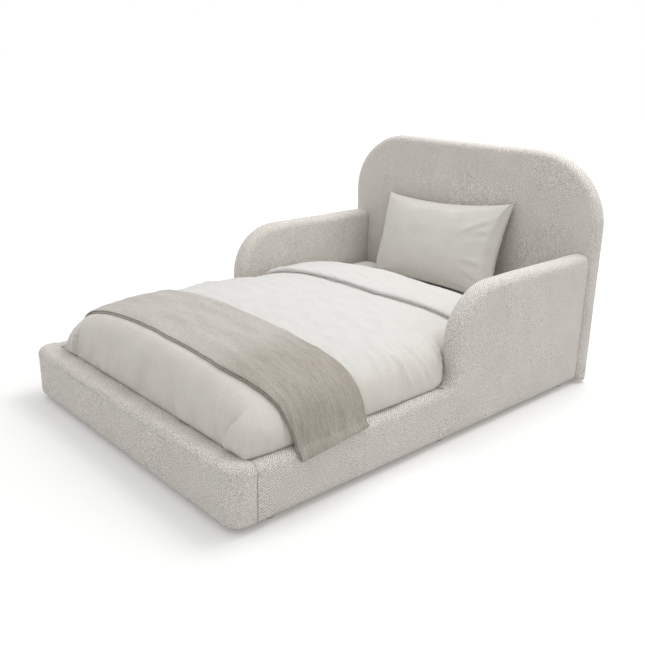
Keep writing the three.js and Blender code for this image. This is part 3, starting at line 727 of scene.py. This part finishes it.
# ---- Duvet ---------------------------------------------------------------------------------
# Long section, foot tuck to head tuck: (y from the foot, right reach, left reach, height, lift).
duvetSet = {
    "foot": -0.7285, "halfWidth": 0.512, "base": 0.166, "height": 0.1709, "arch": 0.171,
    "step": 0.0062, "lip": (0.838, 0.858), "guardStraight": 0.4895, "guardInner": 0.4665,
    "guardEase": 0.014, "guardSwell": 0.024, "rimTop": 0.1735, "rimX": 0.4503, "rimY": -0.6405,
    "rimGap": 0.0009, "floor": 0.150,
    "column": 0.0105, "fineColumn": 0.0030, "pleats": (0.345, 0.505),
    "overGap": 0.0018, "underGap": 0.0008, "squeeze": 0.092, "hemReach": 0.912,
    "cornerPleats": ((0.430, 0.18, 0.013, 0.07), (-0.352, -0.22, 0.012, 0.05)),
    "creases": ((-0.150, 0.0024), (-0.100, 0.0044), (-0.068, 0.0030)),
    "long": [(0.0710, 0.950, 0.895, -0.10, 0), (0.0670, 0.955, 0.865, -0.03, 0),
             (0.0630, 0.960, 0.825, 0.03, 0), (0.0608, 0.965, 0.812, 0.10, 0),
             (0.0608, 0.968, 0.815, 0.18, 0), (0.0630, 0.970, 0.822, 0.32, 0),
             (0.069, 0.975, 0.835, 0.5, 0), (0.087, 0.983, 0.862, 0.72, 0),
             (0.112, 0.990, 0.888, 0.87, 0), (0.140, 0.995, 0.912, 0.93, 0),
             (0.230, 1, 0.955, 0.98, 0), (0.395, 1, 0.985, 1, 0), (0.611, 1, 1, 1, 0),
             (0.790, 1, 1, 0.970, 0), (0.838, 1, 1, 0.966, 0), (0.8468, 1, 1, 0.964, 0.0008),
             (0.8482, 1, 1, 0.964, 0.0030), (0.8460, 1, 1, 0.964, 0.0060),
             (0.8428, 1, 1, 0.964, 0.0090), (0.8428, 1, 1, 0.964, 0.0125),
             (0.8460, 1, 1, 0.964, 0.0153), (0.8540, 1, 1, 0.963, 0.0175),
             (0.869, 1, 1, 0.958, 0.0190), (0.918, 1, 1, 0.942, 0.0195), (1.000, 1, 1, 0.92, 0.020),
             (1.070, 1, 1, 0.85, 0.018), (1.122, 1, 1, 0.75, 0.014), (1.148, 1, 1, 0.62, 0.010),
             (1.160, 1, 1, 0.50, 0.004), (1.163, 1, 1, 0.40, 0), (1.157, 1, 1, 0.36, 0)],
    "across": [(0, 1), (0.35, 0.965), (0.64, 0.868), (0.82, 0.738), (0.9, 0.640), (0.953, 0.51),
               (0.984, 0.345), (0.998, 0.17), (0.998, 0.07), (0.989, 0.015), (0.970, -0.012)]}


def curveThrough(points, step, scale):  # smooth samples about one step apart through the points
    rows = []
    for k in range(len(points) - 1):
        p = [points[max(0, min(len(points) - 1, k + j))] for j in (-1, 0, 1, 2)]
        span = math.sqrt(sum(((b - a) * f) ** 2 for a, b, f in zip(p[1], p[2], scale)))
        count = max(1, round(span / step))
        for i in range(count):
            t = i / count
            rows.append([0.5 * (2 * b + (c - a) * t + (2 * a - 5 * b + 4 * c - d) * t * t
                                + (3 * b - a - 3 * c + d) * t ** 3)
                         for a, b, c, d in zip(*p)])
    rows.append(list(points[-1]))
    return rows


def evenly(points, count):  # resamples a polyline to count + 1 points at equal spacing
    marks = [0.0]
    for a, b in zip(points, points[1:]):
        marks.append(marks[-1] + math.dist(a, b))
    out, k = [], 0
    for i in range(count + 1):
        want = marks[-1] * i / count
        while k < len(marks) - 2 and marks[k + 1] < want:
            k += 1
        t = (want - marks[k]) / max(1e-9, marks[k + 1] - marks[k])
        out.append([a + (b - a) * t for a, b in zip(points[k], points[k + 1])])
    return out


def guardLimit(y, z):  # how far out cloth can be beside the guard arm's rounded front edge
    front, bend, rim = railSet["front"], railSet["curve"], railSet["rim"]
    rise = z - (railSet["top"] - bend)
    if rise > 0:
        front += bend - math.sqrt(max(0.0, bend ** 2 - rise ** 2))
    d = y - front
    straight, ease = duvetSet["guardStraight"], duvetSet["guardEase"]
    if d < -ease:
        return 1.0
    if d < 0:
        return straight + duvetSet["guardSwell"] * math.sqrt(max(0.0, 1 - (1 + d / ease) ** 2))
    if d < rim:
        return straight - math.sqrt(max(0.0, rim ** 2 - (rim - d) ** 2))
    return duvetSet["guardInner"]


def treeOf(names):
    points, faces = [], []
    for name in names:
        mesh = bpy.data.objects[name].data
        faces += [[i + len(points) for i in f.vertices] for f in mesh.polygons]
        points += [v.co.copy() for v in mesh.vertices]
    return BVHTree.FromPolygons(points, faces)


def restHeight(x, y):  # what lies under the duvet: the made mattress, the rails and the footboard
    hit = duvetSet["restTree"].ray_cast(Vector((x, y, 0.3)), Vector((0, 0, -1)))[0]
    under = hit.z if hit else 0
    if abs(x) > duvetSet["rimX"] or y < duvetSet["rimY"]:
        under = min(under, duvetSet["rimTop"]) - duvetSet["rimGap"]
    return max(under, duvetSet["floor"])


def duvetColumns():  # the cross section, with its points close together where the pleats are
    wide, tall = duvetSet["halfWidth"], duvetSet["arch"]
    half = curveThrough([(u * wide, v * tall) for u, v in duvetSet["across"]], 0.001, (1, 1))
    kept, run, last = [half[0]], 0.0, half[0]
    first, final = duvetSet["pleats"]
    for p in half[1:]:
        run += math.dist(p, last)
        last = p
        fine = first < p[0] < final and p[1] > 0.08
        if run >= (duvetSet["fineColumn"] if fine else duvetSet["column"]) - 0.0005:
            kept.append(p)
            run = 0.0
    kept[-1] = half[-1]
    right = [(x / wide, z / tall) for x, z in kept]
    return [(-u, v) for u, v in reversed(right[1:])] + right


def makeDuvet():
    duvetSet["restTree"] = treeOf(("rightRailCover", "leftRailCover", "footboardCover",
                                   "fittedSheet"))
    fine = curveThrough(duvetSet["long"], duvetSet["step"] / 3, (1, 0.1, 0.1, duvetSet["arch"], 1))
    lipStart, lipEnd = duvetSet["lip"]  # the fold's lip keeps every row, the rest every third
    rows = [row for n, row in enumerate(fine) if n % 3 == 0 or lipStart < row[0] < lipEnd]
    cross = duvetColumns()
    bm = bmesh.new()
    bmesh.ops.create_grid(bm, x_segments=len(cross) - 1, y_segments=len(rows) - 1, size=1)
    bm.verts.ensure_lookup_table()
    order = sorted(bm.verts, key=lambda v: (round(v.co.y, 6), round(v.co.x, 6)))
    wide = len(cross)
    for n, v in enumerate(order):
        u, share = cross[n % wide]
        y, right, left, rise, lift = rows[n // wide]
        if u < 0 and share < 0.08:  # the hem lies out over the gap beside the mattress
            left = max(left, duvetSet["hemReach"])
        tuck = fade(y + duvetSet["foot"] + 0.062, 0.096)  # squeezed in between the guard arms
        if share < 0.1:
            u += (math.copysign(0.998, u) - u) * fade(y + duvetSet["foot"] - 0.02, 0.05)
        reach = right if u > 0 else left
        x = duvetSet["halfWidth"] * reach * u * (1 - duvetSet["squeeze"] * tuck)
        z = duvetSet["base"] + duvetSet["height"] * rise * share + lift * fade(share, 0.2)
        skew = 0.30 * max(0, x - 0.13)  # the folded-back end lies a little askew
        y += skew * min(fade(y - 0.60, 0.24), fade(1.149 - y, 0.14))
        v.co = Vector((x, y + duvetSet["foot"], z))
    turnOut(bm)
    bm.normal_update()
    if sum(f.normal.z for f in bm.faces) < 0:
        bmesh.ops.reverse_faces(bm, faces=bm.faces)
        bm.normal_update()
    moves = [duvetFold(v.co, v.normal) for v in order]
    for v, move in zip(order, moves):
        v.co += move
    for v in order:
        limit = guardLimit(v.co.y, v.co.z)
        if abs(v.co.x) > limit:
            v.co.x = math.copysign(limit, v.co.x)
        v.co.z = max(v.co.z, restHeight(v.co.x, v.co.y) + duvetSet["overGap"])
    top = list(bm.faces)
    grown = bmesh.ops.extrude_face_region(bm, geom=top)["geom"]
    raised = set(onlyVerts(grown))
    for v in bm.verts:
        if v not in raised:
            v.co.z = min(v.co.z, restHeight(v.co.x, v.co.y) + duvetSet["underGap"])
    turnOut(bm)
    return bm


def creaseAt(point, size, seed):  # thin pulled ridges, 0 to 1
    return max(0.0, 1 - 3.2 * abs(cloudAt(point, size, seed))) ** 2


def duvetFold(p, n):  # creases and folds, along the surface's normal, in metres
    x, y, z = p
    fromFoot = y - duvetSet["foot"]
    side = abs(x) / duvetSet["halfWidth"]
    low = fade(z - 0.169, 0.02)  # held where it is tucked in
    move = 0.0045 * cloudAt((x, y, z), 0.26, 5.0)
    onTop = fade(fromFoot - 0.13, 0.08) * fade(1.02 - side, 0.3)
    move += 0.0020 * onTop * cloudAt((x * 0.3, y + 0.15 * x, 0), 0.040, 9.0)
    move += 0.0026 * onTop * creaseAt((x * 0.3, y * 1.2 + 0.3 * x, 0), 0.060, 15.0)
    front = fade(0.160 - fromFoot, 0.07)
    lean = 0.5 * (z - 0.17) * (1 if x > 0.1 else -0.4)
    fan = x + lean
    move += 0.0100 * front * cloudAt((fan, 0, z * 0.4), 0.090, 21.0)
    pucker = 0.3 + 0.9 * fade(0.28 - z, 0.10)
    move += 0.0075 * front * pucker * cloudAt((fan, 0, z * 0.3), 0.036, 27.0)
    move += 0.0040 * front * pucker * creaseAt((fan, 0, z * 0.35), 0.060, 29.0)
    flank = fade(side - 0.72, 0.2) * (1 - front)
    move += 0.0050 * flank * cloudAt((0, y + 0.35 * z, z * 0.3), 0.075, 33.0)
    near = fade(y + 0.35, 0.25)
    move += 0.0090 * flank * near * creaseAt((0, y - 0.55 * z, z * 0.2), 0.075, 39.0)
    for creaseY, deep in duvetSet["creases"]:
        d = y - creaseY - 0.30 * (0.30 - z)
        if abs(d) < 0.05:
            rightward = fade(x / duvetSet["halfWidth"] - 0.74, 0.12)
            drawn = fade(z - 0.185, 0.03) * fade(0.328 - z, 0.05) * rightward
            ridge = math.exp(-(d / 0.007) ** 2)
            trough = math.exp(-((d - 0.014) / 0.009) ** 2)
            move += deep * drawn * (ridge - 0.8 * trough)
    for pleatX, slope, deep, reachIn in duvetSet["cornerPleats"]:
        if fromFoot < 0.17:
            d = (x - (pleatX + slope * (z - 0.175))) * (1 if pleatX > 0 else -1)
            tall = fade(0.272 - z, 0.06) * (0.5 + 0.5 * fade(z - 0.175, 0.04))
            if 0 <= d < 0.2:
                move += deep * tall * math.exp(-d / reachIn)
            elif -0.06 < d < 0:
                move -= deep * 0.55 * tall * math.exp(d / 0.014)
    return n * move * low


makeMattress()
makeFittedSheet()
duvetShape = makeDuvet()
duvetTree = BVHTree.FromBMesh(duvetShape)
duvetPiece = addPiece("duvetQuilt", duvetShape, "duvet_set", duvetCotton, ["duvet"])
print("duvet:", len(duvetPiece.data.polygons), "faces")


# ---- Throw ---------------------------------------------------------------------------------
# Wool throw folded once along its length, fold to the head; both open edges show at the front.
throwSet = {"front": 0.140, "rear": 0.395, "lift": 0.0008, "layer": 0.0040, "gap": 0.0009,
            "columns": 150, "rows": 26, "railEdge": (0.510, 0.143, 0.0245), "hemX": 0.5365,
            "hemFront": 0.137, "hemRear": 0.153, "shearFront": 0.050, "shearRear": 0.020,
            "width": 0.255, "clingFrom": 0.215, "cling": 0.85}
throwRows = curveThrough([p for p in duvetSet["long"] if 0.1 < p[0] < 0.7], 0.004,
                         (1, 0.1, 0.1, duvetSet["arch"], 1))


def throwPath(y, share):  # over the duvet from the left rail's top to the hem on the right
    row = min(throwRows, key=lambda r: abs(r[0] - y))
    halves = [[(duvetSet["halfWidth"] * row[side] * u,
                duvetSet["base"] + duvetSet["height"] * row[3] * v)
               for u, v in duvetSet["across"][:7]] for side in (1, 2)]
    cx, cz, r = throwSet["railEdge"]
    over = [(cx + r * math.cos(a), cz + r * math.sin(a)) for a in (1.05, 0.70, 0.35)]
    hem = throwSet["hemFront"] + (throwSet["hemRear"] - throwSet["hemFront"]) * share
    right = halves[0] + over + [(throwSet["hemX"], hem)]
    left = halves[1][1:] + [(cx + r * math.cos(1.1), cz + r * math.sin(1.1))]
    points = [(-x, z) for x, z in reversed(left)] + right
    return evenly(curveThrough(points, 0.006, (1, 1)), throwSet["columns"])


def makeThrow():
    layer, gap, lift = throwSet["layer"], throwSet["gap"], throwSet["lift"]
    low, high = lift + layer / 2, lift + layer * 1.5 + gap
    turn = (high - low) / 2
    strip = [(i / throwSet["rows"], high) for i in range(throwSet["rows"] + 1)]
    strip += [(1 + turn * math.sin(a) / throwSet["width"], low + turn + turn * math.cos(a))
              for a in (0.6, 1.2, 1.57, 1.94, 2.54)]
    strip += [(1 - i / throwSet["rows"] * 1.008, low) for i in range(throwSet["rows"] + 1)]
    bm = bmesh.new()
    columns = throwSet["columns"]
    bmesh.ops.create_grid(bm, x_segments=columns, y_segments=len(strip) - 1, size=1)
    order = sorted(bm.verts, key=lambda v: (round(v.co.y, 6), round(v.co.x, 6)))
    wide = columns + 1
    spots = {}
    length = 1.35
    for n, v in enumerate(order):
        i, j = n % wide, n // wide
        share, offset = strip[j]
        along = i / columns
        late = fade(along - 0.70, 0.30)
        y0 = throwSet["front"] + throwSet["shearFront"] * late
        y1 = throwSet["rear"] + throwSet["shearRear"] * late
        spot = (along * length, 0, 0)
        wave = 0.0035 * cloudAt(spot, 0.16, 61.0) + 0.0015 * cloudAt(spot, 0.05, 63.0)
        y = y0 + (y1 - y0) * share + wave
        path = throwPath(y - 0.6 * throwSet["shearFront"] * late, min(1, max(0, share)))
        a, b = path[max(0, i - 1)], path[min(columns, i + 1)]
        run = math.dist(a, b)
        nx, nz = -(b[1] - a[1]) / run, (b[0] - a[0]) / run
        p = Vector((path[i][0] + nx * offset, y + duvetSet["foot"], path[i][1] + nz * offset))
        hit, normal = duvetTree.find_nearest(p)[:2]
        stand = (p - hit).dot(normal)
        if p.z > throwSet["clingFrom"]:
            cling = fade(p.z - throwSet["clingFrom"], 0.05)
            if stand < offset:
                p += normal * (offset - stand)
            else:
                p -= normal * (stand - offset) * cling * throwSet["cling"]
        drop = fade(along - 0.62, 0.2)
        ripple = 0.0050 * cloudAt((0.2 * along, y, 0), 0.060, 71.0) * drop
        ripple += 0.0022 * cloudAt((0.5 * along, y, 0), 0.024, 77.0) * drop
        p += Vector((nx, 0, nz)) * (0.0025 * drop + ripple * (0.6 if ripple > 0 else 0.4))
        v.co = p
        spots[v] = (along * length, y if j <= throwSet["rows"] else 0.8 - y)
    turnOut(bm)
    layerUV = bm.loops.layers.uv.new("napUV")
    for f in bm.faces:
        for loop in f.loops:
            loop[layerUV].uv = spots[loop.vert]
    piece = addPiece("throwBlanket", bm, "throw_set", wool, ["throw_blanket"])
    thicken(piece, layer, 0)
    smoothOnce(piece)
    print("throw:", len(piece.data.polygons), "faces")


makeThrow()


# ---- Pillow --------------------------------------------------------------------------------
pillowSet = {"width": 0.570, "height": 0.335, "thick": 0.122, "pull": 0.050, "across": 72,
             "up": 44, "lean": 20.5, "roll": 2.3, "x": -0.034, "pressure": 2.0, "frames": 14,
             "cap": 0.008, "backFace": 0.6760, "sheet": 0.2465, "seam": 0.0015, "settle": 0.004,
             "ears": ((0.020, 0.014), (0.010, 0.000), (-0.002, 0.012), (0.008, 0.022)),
             "creases": [(0.262, 0.125, 0.55, 0.15, 0.010, 0.0035),
                         (0.258, 0.075, 0.22, 0.11, 0.008, 0.0032),
                         (0.255, 0.035, 0.10, 0.07, 0.006, 0.0024),
                         (0.250, -0.045, -0.05, 0.10, 0.008, 0.0028),
                         (0.258, -0.105, -0.35, 0.10, 0.008, 0.0024)]}


def simulateCloth(piece, pressure, frames):
    cloth = piece.modifiers.new("cloth", "CLOTH")
    setting = cloth.settings
    setting.quality = 6
    setting.mass = 0.25
    setting.tension_stiffness = setting.compression_stiffness = 12
    setting.shear_stiffness = 6
    setting.bending_stiffness = 0.35
    setting.use_pressure = True
    setting.uniform_pressure_force = pressure
    setting.effector_weights.gravity = 0
    cloth.collision_settings.use_collision = False
    cloth.point_cache.frame_start = 1
    cloth.point_cache.frame_end = frames
    for frameNumber in range(1, frames + 1):
        scene.frame_set(frameNumber)
    shaped = piece.evaluated_get(bpy.context.evaluated_depsgraph_get())
    points = [v.co.copy() for v in shaped.data.vertices]
    piece.modifiers.remove(cloth)
    for v, p in zip(piece.data.vertices, points):
        v.co = p
    scene.frame_set(1)


def makePillow():
    bm = bmesh.new()
    across, up = pillowSet["across"], pillowSet["up"]
    wide, tall, thick = (pillowSet[k] for k in ("width", "height", "thick"))
    bmesh.ops.create_grid(bm, x_segments=across, y_segments=up, size=1)
    grown = bmesh.ops.extrude_face_region(bm, geom=bm.faces[:])["geom"]
    upper = set(onlyVerts(grown))
    for v in bm.verts:  # a lens whose sides pull in between its four corners
        face = 1 if v in upper else -1
        u, w = (math.sin(v.co[a] * math.pi / 2) for a in (0, 1))
        ear = [(1 + i * u) * (1 + j * w) / 4 for i, j in ((-1, -1), (1, -1), (-1, 1), (1, 1))]
        swell = math.sqrt(max(0, (1 - abs(u) ** 2.4) * (1 - abs(w) ** 2.4)))
        pullX = 1 - pillowSet["pull"] * (1 - w * w)
        pullY = 1 - 1.9 * pillowSet["pull"] * (1 - u * u)
        v.co = Vector((u * wide / 2 * pullX, w * tall / 2 * pullY,
                       face * (pillowSet["seam"] + 0.9 * thick / 2 * swell)))
        for share, (moveX, moveY) in zip(ear, pillowSet["ears"]):
            v.co += Vector((moveX, moveY, 0)) * share ** 2
        v.co.z += 0.003 * swell * cloudAt((v.co.x, v.co.y, face), 0.06, 81.0)
    turnOut(bm)
    piece = addPiece("pillow", bm, "pillow_set", pillowCotton,
                     ["pillowcase", "pillow_insert"])
    before = [v.co.copy() for v in piece.data.vertices]
    simulateCloth(piece, pillowSet["pressure"], pillowSet["frames"])
    mesh = piece.data
    for v, old in zip(mesh.vertices, before):
        move = v.co - old
        if move.length > pillowSet["cap"]:
            v.co = old + move * (pillowSet["cap"] / move.length)
    sizeNow = [max(v.co[a] for v in mesh.vertices) - min(v.co[a] for v in mesh.vertices)
               for a in range(3)]
    print("pillow filled to", [round(v, 3) for v in sizeNow])
    lean, roll = math.radians(pillowSet["lean"]), math.radians(pillowSet["roll"])
    for v in mesh.vertices:
        x, up, out = v.co
        crease = pillowCrease(x, up) * (1 if out > 0 else 0)
        y = -(out + crease)
        x, up = x * math.cos(roll) - up * math.sin(roll), up * math.cos(roll) + x * math.sin(roll)
        v.co = Vector((x, y * math.cos(lean) + up * math.sin(lean),
                       up * math.cos(lean) - y * math.sin(lean)))
    shiftY = pillowSet["backFace"] - max(v.co.y for v in mesh.vertices) + pillowSet["settle"]
    shiftZ = pillowSet["sheet"] - min(v.co.z for v in mesh.vertices) - pillowSet["settle"]
    for v in mesh.vertices:
        v.co += Vector((pillowSet["x"], shiftY, shiftZ))
        v.co.y = min(v.co.y, pillowSet["backFace"])
        v.co.z = max(v.co.z, pillowSet["sheet"])
    smoothOnce(piece)
    print("pillow:", len(mesh.polygons), "faces")


def pillowCrease(x, up):  # pulled creases that run in from the right-hand seam
    depth = 0.0
    for startX, startUp, slope, long, wide, deep in pillowSet["creases"]:
        along = (startX - x) / long
        if 0 < along < 1:
            off = up - (startUp - slope * (startX - x))
            arc = math.sin(math.pi * along)
            depth += deep * arc * math.exp(-(off / wide) ** 2)
            depth -= 0.7 * deep * arc * math.exp(-((off + 1.8 * wide) / wide) ** 2)
    return depth


makePillow()
